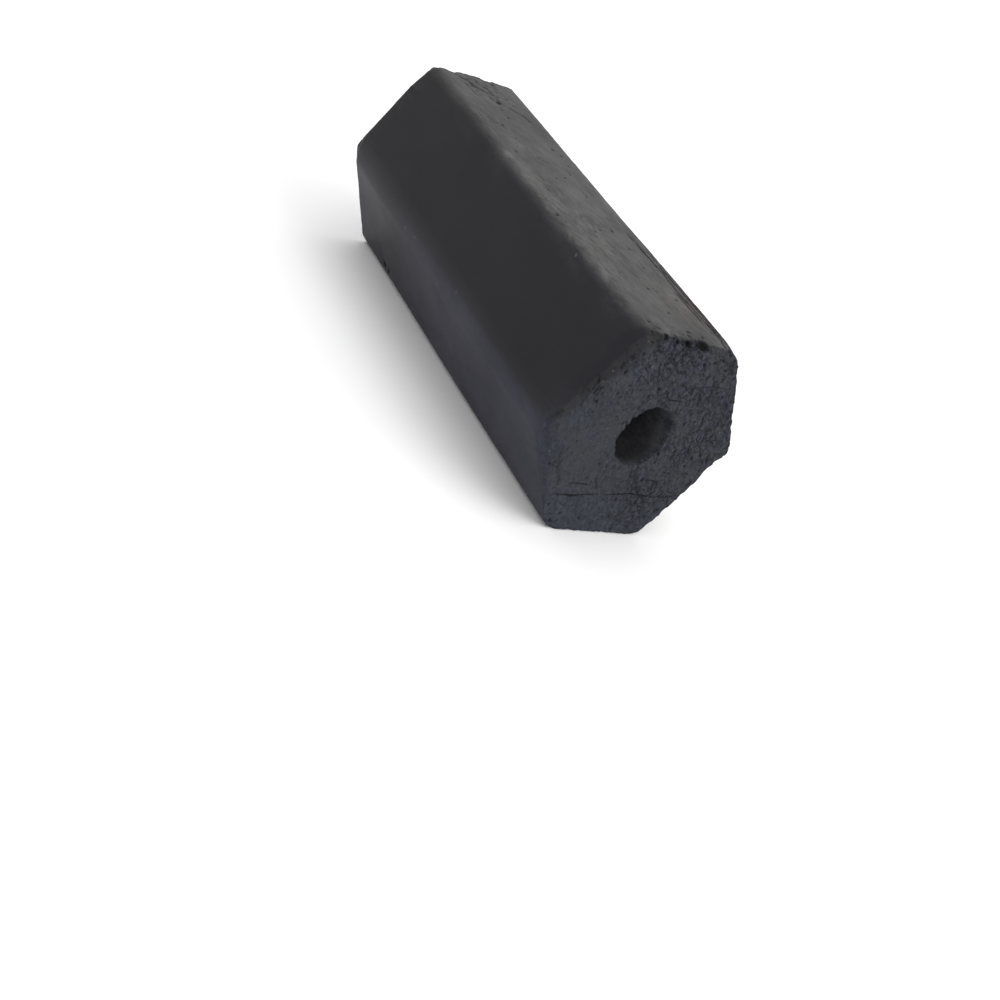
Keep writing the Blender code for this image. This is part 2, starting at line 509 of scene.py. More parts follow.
def depth_under_sides(point, sizes):
    """How far a point lies inside the nearest of the six flat sides, in mm."""
    reach = max(point.dot(outward) for outward, _across in SIDE_AXES.values())
    return (sizes.across_flats / 2 - reach) / MM


def turn_between(angle, other):
    return abs((angle - other + 180) % 360 - 180)


def swell(angle, middle, half_width):
    """1 at the middle of a stretch round the axis, falling to 0 at its ends."""
    away = turn_between(angle, middle) / half_width
    return (1 - away * away) ** 2 if away < 1 else 0.0


def chip_depth(angle, chips):
    """How deep the rim has broken away at an angle round the axis, in mm."""
    return sum(deepest * swell(angle, middle, half_width) for middle, half_width, deepest in chips)


def tallest_swell(angle, swells):
    """The most that some stretches round the axis, of middle, half width and size, give here."""
    return max(size * swell(angle, middle, half_width) for middle, half_width, size in swells)


def rubbed_round(point, angle):
    """The radius in mm to which the rim is rubbed round at this place."""
    return tallest_swell(angle, FRONT_RUBBED if point.y < 0 else BACK_RUBBED)


def mouth_rub(point):
    """How near this point is to the rubbed side of the hole, from 0 to 1."""
    return swell(angle_in_hole(point), *MOUTH_RUBBED)


def round_over(from_end, under_side, radius):
    """Rolls a point near a square rim on to an arc. Takes and gives mm from both faces."""
    if from_end >= radius or under_side >= radius:
        return from_end, under_side
    if under_side <= from_end:
        turn = (1 - from_end / radius) * math.pi / 4
        return radius * (1 - math.sin(turn)), under_side + radius * (1 - math.cos(turn))
    turn = (1 - under_side / radius) * math.pi / 4
    return from_end + radius * (1 - math.cos(turn)), radius * (1 - math.sin(turn))


def wear_rim(point, sizes):
    """Rounds and chips the rims of both ends, and flares the bore's mouths."""
    front = point.y < 0
    inward = 1 if front else -1
    from_end = (sizes.length / 2 - abs(point.y)) / MM
    under_side = max(0.0, depth_under_sides(point, sizes))
    across = Vector((point.x, 0, point.z)).normalized()
    worn = point.copy()
    angle = angle_round_axis(point)
    if from_end < CHIP_REACH and under_side < CHIP_REACH:
        chip = chip_depth(angle, FRONT_CHIPS if front else BACK_CHIPS)
        ragged = side_mix(point, sizes, FRONT_RAGGED if front else BACK_RAGGED)
        ragged *= crumble(point, 2.2, 3, 3.1)
        radius = RIM_ROUNDING + RAGGED_ROUNDING * ragged + CHIP_ROUNDING * chip
        radius += rubbed_round(point, angle)
        end_now, side_now = round_over(from_end, under_side, max(LEAST_ROUNDING, radius))
        near = max(0.0, 1 - math.hypot(from_end, under_side) / CHIP_REACH)
        bite = chip * (near ** 1.5) * (0.7 + 0.5 * ragged) + 0.30 * max(0.0, ragged) * near ** 4
        worn = worn - across * ((side_now - under_side + bite) * MM)
        worn.y += inward * (end_now - from_end + bite) * MM
    hole_gap = (from_hole_axis(point) - sizes.hole_radius) / MM
    if hole_gap < MOUTH_REACH and from_end < MOUTH_REACH:
        ragged = crumble(point, 1.6, 3, 8.0)
        near = max(0.0, 1 - math.hypot(from_end, hole_gap) / MOUTH_REACH) ** 2
        loss = near * (0.05 + 0.32 * ragged)
        if front:
            loss += MOUTH_RUB_DEPTH * near * mouth_rub(point)
        out = Vector((point.x - HOLE_OFFSET[0], 0, point.z - HOLE_OFFSET[1])).normalized()
        worn = worn + out * (loss * MM)
        worn.y += inward * loss * MM
    return worn


def slant_ends(plain, worn, sizes):
    """Leans the ends over, and with them all that lies between."""
    share = plain.y / sizes.length + 0.5
    slope_x = FRONT_SLOPE[0] + (BACK_SLOPE[0] - FRONT_SLOPE[0]) * share
    slope_z = FRONT_SLOPE[1] + (BACK_SLOPE[1] - FRONT_SLOPE[1]) * share
    return worn + Vector((0, slope_x * worn.x + slope_z * worn.z, 0))


def side_mix(point, sizes, values):
    """A value that is set for each flat side, blended where two sides meet."""
    total = 0.0
    weights = 0.0
    for side, value in values.items():
        outward = SIDE_AXES[side][0]
        under = (sizes.across_flats / 2 - point.dot(outward)) / MM
        weight = max(0.0, 1 - under / 2.5) ** 3
        total += weight * value
        weights += weight
    if weights == 0:
        return 0.5
    return total / weights


def corner_scuff(point, angle):
    """How scuffed the nearest long corner is here, from 0 to 1."""
    corner = round(angle / 60) * 60 % 360
    band = 1 - smooth_step(2.0, 11.0, turn_between(angle, corner))
    broken_up = smooth_step(-0.25, 0.45, grain(point, 3.5, 9.0, 5.0))
    return CORNER_SCUFF[corner] * band * broken_up


def patch_strength(point, patches):
    """How far this point lies in one of some named patches of the skin."""
    strength = 0.0
    for side, across, along, half_width, half_length, full in patches:
        outward, sideways = SIDE_AXES[side]
        if point.dot(outward) < 0.018:
            continue
        u = (point.dot(sideways) / MM - across) / half_width
        v = (point.y / MM - along) / half_length
        strength = max(strength, full * (1 - smooth_step(0.3, 1.15, math.hypot(u, v))))
    return strength


def skin_relief(point, sizes):
    """Height of the pressed skin in mm, and how scuffed it is."""
    angle = angle_round_axis(point)
    coarse = side_mix(point, sizes, SKIN_COARSENESS)
    wear = max(corner_scuff(point, angle), patch_strength(point, PATCHES))
    kept = patch_strength(point, SMOOTH_PATCHES) - patch_strength(point, PALE_PATCHES)
    height = SKIN_WAVES * grain(point, 9.0, 22.0, 1.0)
    height += (SKIN_LINES + COARSE_LINES * coarse) * grain(point, 0.8, 22.0, 2.0)
    lumps = crumble(Vector((point.x, 0.45 * point.y, point.z)), 1.5, 4, 4.0)
    ridges = 1 - 2 * abs(grain(point, 1.1, 3.2, 6.0))
    height += coarse * COARSE_LUMPS * lumps
    height += wear * (WORN_LUMPS * lumps + WORN_RIDGES * ridges - WORN_DEPTH)
    scuff_and_bore_light = min(1.0, 0.75 * coarse + 0.25 * coarse * lumps + 0.6 * wear)
    far = smooth_step(*FAR_DARKENING, point.y / MM)
    return height, scuff_and_bore_light * (1 - kept) * (1 - FAR_DARKNESS * far)


def crackle(point, cell_mm):
    """Fine cracks between small plates, on an end face: 0 on the plates and 1 along the cracks."""
    turned_x = 0.866 * point.x + 0.5 * point.z
    turned_z = 0.866 * point.z - 0.5 * point.x
    upright = Vector((turned_x, point.y, turned_z / 1.6)) / (cell_mm * MM)
    bend = Vector([noise.noise(upright * 1.4 + draw) for draw in BEND_DRAWS])
    bent = upright + 0.45 * bend
    nearest = noise.voronoi(bent)[0]
    return 1 - smooth_step(0.0, 0.26 / cell_mm, nearest[1] - nearest[0])


def end_roughness(point):
    """How rough the cut is, from 0 to 1."""
    return 1 - tallest_swell(angle_round_axis(point), END_SMOOTHED)


def end_relief(point):
    """Height of the rough cut in mm, and how much painted shade darkens its fine cracks."""
    rough = end_roughness(point)
    patchy = smooth_step(-0.35, 0.35, grain(point, 7.0, 7.0, 21.0)) * rough * rough
    cracked = patchy * crackle(point, 1.9)
    broad = END_WAVES * grain(point, 9.0, 9.0, 9.0)
    crumbs = END_CRUMBS * rough * crumble(point, 1.6, 5, 1.5)
    return broad + crumbs - END_CRACKS * cracked, CRACKLE_PAINTED_SHADE * cracked


def bore_relief(point):
    """Height of the bore's wall in mm."""
    return BORE_LUMPS * crumble(point, 3.0, 2, 2.0) + BORE_LINES * grain(point, 0.9, 14.0, 3.0)


def skin_over_rim(point, sizes):
    """How far the rubbed skin covers this point of an end face, from 0 to 1."""
    cover = tallest_swell(angle_round_axis(point), FRONT_COVER if point.y < 0 else BACK_COVER)
    reach = cover * (1.0 + 0.40 * crumble(point, 3.0, 4, 11.0))
    if reach < 0.2:
        return 0.0
    return 1 - smooth_step(0.5 * reach, reach, depth_under_sides(point, sizes))


def front_paling(point):
    """How far the skin at the front rim has worn as pale as the cut, from 0 to 1."""
    middle, half_width, share = FRONT_PALED
    return share * swell(angle_round_axis(point), middle, half_width) if point.y < 0 else 0.0


def surface_relief(point, sizes):
    """Height in mm of a plain log's point, and its shares of scuffed skin, broken char and painted
    shade; in the bore the scuffed share is painted light.
    """
    from_end = (sizes.length / 2 - abs(point.y)) / MM
    if from_end < 0.01:
        height, painted_shade = end_relief(point)
        covered = skin_over_rim(point, sizes)
        skin_share = 0.9 * covered * (1 - front_paling(point))
        return height * (1 - 0.8 * covered), 0.1 * covered, 1 - skin_share, painted_shade * (1 - covered)
    if in_bore(point, sizes):
        end_share = 1 - smooth_step(0.0, 0.7 + 1.2 * mouth_rub(point), from_end)
        deep = smooth_step(*BORE_DEEP, from_end)
        height = bore_relief(point)
        # Painted light: the bore's walls are painted paler, most deep inside, in place of light in the
        # hole
        scuff_and_bore_light = BORE_PAINTED_LIGHT + (1 - BORE_PAINTED_LIGHT) * deep
        least_broken = BORE_BROKEN
        # Painted shade: the side opposite the rubbed mouth is painted darker, half as much deep inside
        lower_side = 0.5 - 0.5 * math.cos(math.radians(angle_in_hole(point) - MOUTH_RUBBED[0]))
        painted_bore_shade = BORE_PAINTED_SHADE * (lower_side * (1 - 0.5 * deep))
    else:
        angle = angle_round_axis(point)
        chip = chip_depth(angle, FRONT_CHIPS if point.y < 0 else BACK_CHIPS)
        rubbed = min(1.0, rubbed_round(point, angle))
        reach = (1 - rubbed) * (0.7 + 1.3 * chip + 0.9 * crumble(point, 1.8, 3, 7.0))
        end_share = 0.0
        if reach > 0.15:
            end_share = 1 - smooth_step(0.25 * reach, max(0.35, reach), from_end)
        height, scuff_and_bore_light = skin_relief(point, sizes)
        least_broken = front_paling(point) * (1 - smooth_step(0.0, PALED_REACH, from_end))
        painted_bore_shade = 0.0
    if end_share == 0:
        return height, scuff_and_bore_light, least_broken, painted_bore_shade
    end_height, painted_shade = end_relief(point)
    height += end_share * (end_height - height)
    return height, scuff_and_bore_light, max(least_broken, end_share), painted_shade * end_share + painted_bore_shade * (1 - end_share)


class Carver:
    """Digs pits and cracks into a surface: it keeps each point's height, painted shade and flecks."""

    def __init__(self, plain, heights, painted_shade):
        self.heights = heights
        self.painted_shade = painted_shade
        self.flecks = [0.0] * len(plain)
        self.shifts = {}
        self.tree = kdtree.KDTree(len(plain))
        for index, point in enumerate(plain):
            self.tree.insert(point, index)
        self.tree.balance()

    def dig(self, place, radius, depth, painted_shade=1.0):
        """A pit of that radius and depth in mm, with steep walls, darkened inside with painted shade.
        """
        for _point, index, away in self.tree.find_range(place, radius * MM):
            bowl = 1 - (away / (radius * MM)) ** 2
            self.heights[index] -= depth * bowl
            self.painted_shade[index] = max(self.painted_shade[index], painted_shade * bowl)

    def bite(self, place, radius, depth):
        """A deep bite at a rim, darkened with painted shade, where all of the points move in one
        direction.
        """
        for _point, index, away in self.tree.find_range(place, radius * MM):
            bowl = 1 - (away / (radius * MM)) ** 2
            self.shifts[index] = max(self.shifts.get(index, 0.0), depth * bowl)
            self.painted_shade[index] = max(self.painted_shade[index], min(1.0, 2.2 * bowl))

    def score(self, place, half_width, depth, painted_shade):
        """One step of a crack, no deeper where steps overlap, darkened with painted shade."""
        for _point, index, away in self.tree.find_range(place, half_width * MM):
            notch = painted_shade * (1 - away / (half_width * MM))
            if notch > self.painted_shade[index]:
                self.heights[index] -= depth * (notch - self.painted_shade[index]) / painted_shade
                self.painted_shade[index] = notch

    def bruise(self, place, radius, height, strength):
        """A raised or bared grain, paler than what is round it."""
        for point, index, away in self.tree.find_range(place, radius * MM):
            ragged = away * (1 + 1.2 * abs(noise.noise(point / (0.4 * MM))))
            bump = max(0.0, 1 - (ragged / (radius * MM)) ** 2)
            self.heights[index] += height * bump
            self.flecks[index] = max(self.flecks[index], strength * bump)


def place_on(where, first, second, sizes):
    """A point of the plain log from its place on a side or an end, in mm."""
    if where in ("front", "back"):
        along = -sizes.length / 2 if where == "front" else sizes.length / 2
        return Vector((first * MM, along, second * MM))
    outward, across = SIDE_AXES[where]
    corner = (where + 30 if first > 0 else where - 30) % 360
    radius = CORNER_RADII[corner]
    round_from = (sizes.across_flats / 2 / MM - radius) * math.tan(math.pi / SIDES)
    past = max(0.0, abs(first) - round_from)
    drop = radius - math.sqrt(max(0.0, radius * radius - past * past))
    on_side = outward * (sizes.across_flats / 2 - drop * MM) + across * first * MM
    return on_side + Vector((0, second * MM, 0))


def random_end_place(chance, where, sizes):
    """A chance point on an end face, clear of the hole."""
    while True:
        first = chance.uniform(-25, 25)
        second = chance.uniform(-22.3, 22.3)
        place = place_on(where, first, second, sizes)
        clear_of_hole = from_hole_axis(place) > sizes.hole_radius + 0.3 * MM
        if clear_of_hole and depth_under_sides(place, sizes) > 0.1:
            return place


def chance_shift(chance, reach):
    """A chance step of up to so many mm along each axis."""
    return Vector([chance.uniform(-1, 1) for _axis in range(3)]) * reach * MM


def strewn(chance, where, middle, spread, sizes):
    """A chance place near the middle of a patch, in mm."""
    first, second = [value + chance.gauss(0, 0.6) * spread for value in middle]
    return place_on(where, first, second, sizes)


def chance_skin_place(chance, sides, sizes):
    """A chance place on one of some flat sides."""
    side = chance.choice(sides)
    return place_on(side, chance.uniform(-12, 12), chance.uniform(-50, 50), sizes)


def crumbled_pit(carver, chance, place, radius, painted_shade):
    """A small ragged pit, made of a few that run into one another."""
    for _bite in range(3):
        spot = place + chance_shift(chance, radius)
        size = radius * chance.uniform(0.6, 1.2)
        carver.dig(spot, size, size * chance.uniform(0.2, 0.5), painted_shade)


def carve_named_details(carver, chance, sizes):
    """Digs the pits, bites, crumbs, grains, nicks and cracks that have a place of their own."""
    for where, first, second, radius, depth in SIDE_PITS:
        place = place_on(where, first, second, sizes)
        carver.dig(place, radius, depth)
        for _crumb in range(4):
            carver.dig(place + chance_shift(chance, radius), radius * 0.5, depth * 0.5)
    for first, second, radius, depth in RIM_BITES:
        place = place_on(TOP_SIDE, first, second, sizes)
        carver.bite(place, radius, depth)
        for _crumb in range(7):
            spot = place + chance_shift(chance, radius)
            carver.bite(spot, radius * chance.uniform(0.25, 0.5), depth * 0.5)
    for where, first, second, spread, crumbs in CRUMB_PATCHES:
        for _crumb in range(crumbs):
            place = strewn(chance, where, (first, second), spread, sizes)
            radius = chance.uniform(0.20, 0.42)
            crumbled_pit(carver, chance, place, radius, chance.uniform(0.30, 1.0))
    for where, first, second, spread, grains in GRAIN_PATCHES:
        for _grain in range(grains):
            place = strewn(chance, where, (first, second), spread, sizes)
            radius = chance.uniform(0.28, 0.48)
            carver.bruise(place, radius, chance.uniform(0.02, 0.08), chance.uniform(0.15, 0.55))
    for where, first, second in NICKS:
        for step in range(3):
            place = place_on(where, first + 0.22 * step, second - 0.16 * step, sizes)
            carver.bruise(place, 0.36, -0.02, 0.55)
    for where, points, half_width, depth in CRACKS:
        cut_crack(carver, chance, where, points, half_width, depth, sizes)


def carve_chance_details(carver, chance, sizes):
    """Strews pits and pale grains over both cut ends, and pits and flecks over the skin."""
    for where in ("front", "back"):
        for _pit in range(END_PITS):
            place = random_end_place(chance, where, sizes)
            radius = chance.uniform(0.18, 0.42)
            painted_shade = chance.uniform(0.35, 1.0) * end_roughness(place)
            crumbled_pit(carver, chance, place, radius, painted_shade)
        for _grain in range(END_GRAINS):
            place = random_end_place(chance, where, sizes)
            radius = chance.uniform(0.22, 0.45)
            carver.bruise(place, radius, chance.uniform(0.03, 0.10), chance.uniform(0.1, 0.5))
    for _pit in range(SKIN_PITS):
        place = chance_skin_place(chance, PITTED_SIDES, sizes)
        radius = chance.uniform(0.30, 0.55)
        carver.dig(place, radius, radius * chance.uniform(0.15, 0.45), chance.uniform(0.3, 0.8))
    for _fleck in range(SKIN_FLECKS):
        place = chance_skin_place(chance, FLECKED_SIDES, sizes)
        carver.bruise(place, chance.uniform(0.25, 0.40), 0.02, chance.uniform(0.1, 0.4))


def cut_crack(carver, chance, where, points, half_width, depth, sizes):
    """A wandering crack that thins out towards both of its tips."""
    total = sum(math.dist(start, end) for start, end in zip(points, points[1:]))
    gone = 0.0
    for start, end in zip(points, points[1:]):
        stretch = math.dist(start, end)
        steps = max(2, round(stretch / CRACK_STEP))
        for step in range(steps):
            share = step / steps
            middle = 1 - abs(2 * (gone + share * stretch) / total - 1)
            first = start[0] + (end[0] - start[0]) * share
            second = start[1] + (end[1] - start[1]) * share
            wander = noise.fractal(Vector((first * 0.22, second * 0.22, depth * 31)), 0.8, 2.3, 5)
            first += CRACK_WANDER[0] * wander
            second += CRACK_WANDER[1] * wander
            place = place_on(where, first, second, sizes)
            full = min(1.0, 0.45 + 1.6 * middle) * (0.8 + 0.4 * chance.random())
            carver.score(place, half_width * full, depth * full, min(1.0, 0.30 + 2.4 * depth))
        gone += stretch


def build_surface(log, sizes):
    """Wears the plain log and gives its whole surface relief, with what each point's finish needs."""
    log.verts.ensure_lookup_table()
    plain = [vert.co.copy() for vert in log.verts]
    relief = [surface_relief(point, sizes) for point in plain]
    heights, scuffs_and_bore_light, broken, painted_shade = [list(column) for column in zip(*relief)]
    # Bluish tint and painted light on each point, fading towards the back
    blues_and_painted_light = [
        side_mix(point, sizes, SKIN_BLUENESS_AND_PAINTED_LIGHT) * (1 - BLUE_FADED * smooth_step(*BLUE_FADE, point.y / MM))
        for point in plain
    ]
    rough = [end_roughness(point) for point in plain]
    carver = Carver(plain, heights, painted_shade)
    chance = random.Random(CHANCE_SEED)
    carve_named_details(carver, chance, sizes)
    carve_chance_details(carver, chance, sizes)
    for vert, point in zip(log.verts, plain):
        vert.co = slant_ends(point, wear_rim(point, sizes), sizes)
    log.normal_update()
    raised = [vert.co + vert.normal * (height * MM) for vert, height in zip(log.verts, heights)]
    for index, (vert, place) in enumerate(zip(log.verts, raised)):
        vert.co = place + INTO_TOP_RIM * (carver.shifts.get(index, 0.0) * MM) + LOG_MIDDLE
        vert.co.z = min(max(vert.co.z, LOW[2]), HIGH[2] + 0.2 * MM)
    finishes = {
        "scuff_and_bore_light": scuffs_and_bore_light,
        "broken": broken,
        "blue_and_painted_light": blues_and_painted_light,
        "painted_shade": carver.painted_shade,
        "fleck": carver.flecks,
        "rough": rough,
    }
    layers = [log.verts.layers.float.new(name) for name in finishes]
    for vert, values in zip(log.verts, zip(*finishes.values())):
        for layer, value in zip(layers, values):
            vert[layer] = value


def thinned(mesh, face_limit):
    """The mesh as triangles, with the flattest places thinned to keep within the face limit."""
    holder = bpy.data.objects.new("thinning", mesh)
    bpy.context.scene.collection.objects.link(holder)
    triangles = sum(polygon.loop_total - 2 for polygon in mesh.polygons)
    if triangles > face_limit:
        thinner = holder.modifiers.new("thin", "DECIMATE")
        thinner.ratio = face_limit / triangles
    bpy.context.view_layer.update()
    graph = bpy.context.evaluated_depsgraph_get()
    result = bpy.data.meshes.new_from_object(holder.evaluated_get(graph))
    bpy.data.objects.remove(holder, do_unlink=True)
    bpy.data.meshes.remove(mesh)
    return result


class NodeSheet:
    """Short ways to lay out a material's nodes."""

    def __init__(self, tree):
        self.tree = tree

    def add(self, kind, **settings):
        node = self.tree.nodes.new(kind)
        for name, value in settings.items():
            setattr(node, name, value)
        return node

    def link(self, source, target):
        self.tree.links.new(source, target)

    def feed(self, socket, value):
        if isinstance(value, bpy.types.NodeSocket):
            self.link(value, socket)
        else:
            socket.default_value = value

    def noise(self, vector, scale, detail=4.0, rough=0.6):
        node = self.add("ShaderNodeTexNoise")
        self.link(vector, node.inputs["Vector"])
        node.inputs["Scale"].default_value = scale
        node.inputs["Detail"].default_value = detail
        node.inputs["Roughness"].default_value = rough
        return node.outputs["Fac"]

    def ramp(self, value, low, high):
        """Stretches a value so that low becomes 0 and high becomes 1."""
        node = self.add("ShaderNodeMapRange")
        self.link(value, node.inputs["Value"])
        node.inputs["From Min"].default_value = low
        node.inputs["From Max"].default_value = high
        return node.outputs["Result"]

    def math(self, operation, first, second):
        node = self.add("ShaderNodeMath", operation=operation)
        self.feed(node.inputs[0], first)
        self.feed(node.inputs[1], second)
        return node.outputs[0]

    def times(self, first, second):
        return self.math("MULTIPLY", first, second)

    def mix(self, share, first, second):
        """Blends two colours."""
        node = self.add("ShaderNodeMix", data_type="RGBA")
        self.feed(node.inputs[0], share)
        self.feed(node.inputs[6], first)
        self.feed(node.inputs[7], second)
        return node.outputs[2]

    def mix_value(self, share, first, second):
        node = self.add("ShaderNodeMix", data_type="FLOAT")
        self.feed(node.inputs[0], share)
        self.feed(node.inputs[2], first)
        self.feed(node.inputs[3], second)
        return node.outputs[0]

    def crackle(self, vector, cells_per_metre):
        """0 along the fine cracks between small bent plates, rising on the plates."""
        wobble = self.add("ShaderNodeTexNoise")
        self.link(vector, wobble.inputs["Vector"])
        wobble.inputs["Scale"].default_value = cells_per_metre * 1.3
        bend = self.add("ShaderNodeVectorMath", operation="SCALE")
        self.link(wobble.outputs["Color"], bend.inputs[0])
        bend.inputs["Scale"].default_value = 1.1 / cells_per_metre
        bent = self.add("ShaderNodeVectorMath", operation="ADD")
        self.link(vector, bent.inputs[0])
        self.link(bend.outputs[0], bent.inputs[1])
        cells = self.add("ShaderNodeTexVoronoi", feature="DISTANCE_TO_EDGE")
        self.link(bent.outputs[0], cells.inputs["Vector"])
        cells.inputs["Scale"].default_value = cells_per_metre
        return cells.outputs["Distance"]

    def mapped(self, vector, change, amounts):
        """The same place after a Scale or a Rotation."""
        node = self.add("ShaderNodeMapping")
        self.link(vector, node.inputs["Vector"])
        node.inputs[change].default_value = amounts
        return node.outputs["Vector"]

    def scaled(self, vector, scale):
        return self.mapped(vector, "Scale", scale)

    def attribute(self, name):
        return self.add("ShaderNodeAttribute", attribute_name=name).outputs["Fac"]


def rgba(color):
    return (*color, 1.0)


def char_material(finish):
    """Pressed and burnt sawdust: smooth slightly glossy skin with painted light on the sides facing
    down, ashy scuffed patches, granular broken ends, and pits and cracks painted near black as shade.
    """
    material = bpy.data.materials.new("char")
    material.use_nodes = True
    sheet = NodeSheet(material.node_tree)
    shader = material.node_tree.nodes["Principled BSDF"]
    place = sheet.add("ShaderNodeTexCoord").outputs["Object"]
    scuff_and_bore_light = sheet.attribute("scuff_and_bore_light")
    broken = sheet.attribute("broken")
    painted_shade = sheet.attribute("painted_shade")
    fleck = sheet.attribute("fleck")
    rough = sheet.attribute("rough")
    black_and_crevice_shade = rgba(finish.black_and_crevice_shade)

    # Patterns of the char
    drawn_out = sheet.scaled(place, (1.0, 0.45, 1.0))
    cloud = sheet.noise(place, 55.0, 3.0, 0.5)
    mottle = sheet.noise(drawn_out, 420.0, 5.0, 0.65)
    grit = sheet.noise(drawn_out, 1900.0, 3.0, 0.7)
    streaks = sheet.noise(sheet.scaled(place, (1500.0, 45.0, 1500.0)), 1.0, 4.0, 0.6)

    upright = sheet.mapped(place, "Rotation", (0.0, math.radians(30), 0.0))
    dashes = sheet.noise(sheet.scaled(upright, (1500.0, 900.0, 620.0)), 1.0, 4.0, 0.65)
    plates = sheet.crackle(sheet.scaled(upright, (1.0, 1.0, 0.62)), 820.0)
    patchy = sheet.noise(place, 170.0, 3.0, 0.5)

    # Colour of the pressed skin
    fine = sheet.noise(drawn_out, 1150.0, 4.0, 0.65)
    broad = sheet.noise(drawn_out, 190.0, 5.0, 0.6)
    rubbed = sheet.times(scuff_and_bore_light, sheet.ramp(sheet.mix_value(0.35, broad, fine), 0.36, 0.60))
    # Painted light: the skin turns to the paler bluish colour on the sides facing down
    skin_with_painted_light = sheet.mix(sheet.attribute("blue_and_painted_light"), rgba(finish.skin), rgba(finish.blue_painted_lit_skin))
    warm = (0.76, 0.73, 0.72)
    warm_scuffed = rgba([channel * share for channel, share in zip(finish.scuffed, warm)])
    clouds = sheet.noise(sheet.scaled(place, (130.0, 60.0, 130.0)), 1.0, 4.0, 0.55)
    ash = sheet.mix(sheet.ramp(clouds, 0.38, 0.60), warm_scuffed, rgba(finish.scuffed))
    skin = sheet.mix(rubbed, skin_with_painted_light, ash)
    streaked = sheet.times(scuff_and_bore_light, sheet.ramp(streaks, 0.60, 1.1))
    skin = sheet.mix(streaked, skin, rgba([channel * 1.25 for channel in finish.scuffed]))
    specks = sheet.times(sheet.ramp(grit, 0.36, 0.26), scuff_and_bore_light)
    skin = sheet.mix(sheet.times(specks, 0.7), skin, black_and_crevice_shade)
    stain = sheet.add("ShaderNodeVectorMath", operation="DISTANCE")
    sheet.link(place, stain.inputs[0])
    stain.inputs[1].default_value = RUST_PLACE
    near_stain = sheet.ramp(stain.outputs["Value"], 0.011, 0.0)
    rusty = sheet.times(near_stain, sheet.ramp(mottle, 0.45, 0.62))
    skin = sheet.mix(sheet.times(rusty, 0.35), skin, rgba(finish.rust))

    # Colour of the cut ends and the bore, then of all together
    height = sheet.add("ShaderNodeSeparateXYZ")
    sheet.link(place, height.inputs[0])
    low_down = sheet.ramp(height.outputs["Z"], 0.017, 0.006)
    bluish = sheet.math("MAXIMUM", sheet.ramp(patchy, 0.42, 0.60), low_down)
    tint = sheet.mix(bluish, rgba(finish.broken), rgba(finish.blue_broken))
    finest = sheet.noise(place, 2700.0, 3.0, 0.7)
    shade = sheet.math("ADD", sheet.ramp(fine, 0.25, 0.75), sheet.ramp(finest, 0.2, 0.8))
    shade = sheet.mix_value(sheet.ramp(rough, 0.0, 0.8), 0.92, shade)
    grains = sheet.mix(sheet.times(shade, 0.5), black_and_crevice_shade, tint)
    # Fine dashes and cracks of the cut ends, painted near black as shade
    in_dashes = sheet.times(sheet.ramp(dashes, 0.46, 0.34), 0.65)
    in_cracks = sheet.times(sheet.ramp(plates, 0.07, 0.0), sheet.ramp(patchy, 0.44, 0.58))
    in_cracks = sheet.times(in_cracks, sheet.times(rough, 0.85))
    in_dashes = sheet.times(in_dashes, rough)
    crevices = sheet.math("MAXIMUM", in_dashes, in_cracks)
    grains = sheet.mix(crevices, grains, black_and_crevice_shade)
    base = sheet.mix(broken, skin, grains)
    ashy = sheet.times(sheet.ramp(grit, 0.66, 0.84), sheet.math("MAXIMUM", broken, rubbed))
    base = sheet.mix(sheet.times(ashy, 0.4), base, rgba(finish.fleck))
    base = sheet.mix(sheet.ramp(fleck, 0.1, 1.0), base, rgba(finish.fleck))
    # Painted shade: pits, cracks, rim bites and the bore's lower side turn near black
    base = sheet.mix(sheet.ramp(painted_shade, 0.05, 0.8), base, black_and_crevice_shade)
    clouded = sheet.times(cloud, 0.35)
    base = sheet.mix(clouded, base, rgba([channel * 0.6 for channel in finish.skin]))
    sheet.link(base, shader.inputs["Base Color"])

    # How glossy it is
    smooth_skin = sheet.mix_value(sheet.ramp(cloud, 0.3, 0.7), 0.40, 0.50)
    rough_skin = sheet.mix_value(rubbed, smooth_skin, 0.62)
    roughness = sheet.mix_value(broken, rough_skin, 0.80)
    roughness = sheet.mix_value(painted_shade, roughness, 0.95)
    sheet.link(roughness, shader.inputs["Roughness"])
    shader.inputs["Specular IOR Level"].default_value = 0.16

    # Its finest relief
    coarse = sheet.math("MAXIMUM", broken, sheet.times(scuff_and_bore_light, 0.45))
    relief = sheet.times(coarse, sheet.math("ADD", grit, sheet.times(mottle, 1.4)))
    lines = sheet.times(streaks, scuff_and_bore_light)
    relief = sheet.math("ADD", relief, sheet.times(lines, 0.08))
    relief = sheet.math("SUBTRACT", relief, sheet.times(crevices, broken))
    bump = sheet.add("ShaderNodeBump")
    bump.inputs["Strength"].default_value = 0.8
    bump.inputs["Distance"].default_value = 0.00028
    sheet.link(relief, bump.inputs["Height"])
    sheet.link(bump.outputs["Normal"], shader.inputs["Normal"])
    return material


class MakeLog(bpy.types.Operator):
    """Models the briquette's log with its worn surface and its char finish"""

    bl_idname = "briquette.make_log"
    bl_label = "Make Log"

    def execute(self, context):
        sizes = context.scene.briquette_sizes
        log = bmesh.new()
        die_opening(log, sizes)
        ring_section(log, sizes)
        press_log(log, sizes)
        build_surface(log, sizes)
        mesh = bpy.data.meshes.new("char_log")
        log.to_mesh(mesh)
        log.free()
        mesh = thinned(mesh, sizes.face_limit)
        mesh.name = "char_log"
        mesh.shade_smooth()
        mesh.materials.append(char_material(context.scene.char_finish))
        piece = bpy.data.objects.new("char_log", mesh)
        context.scene.collection.objects.link(piece)
        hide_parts("briquette")
        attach(piece, "root")
        return {"FINISHED"}


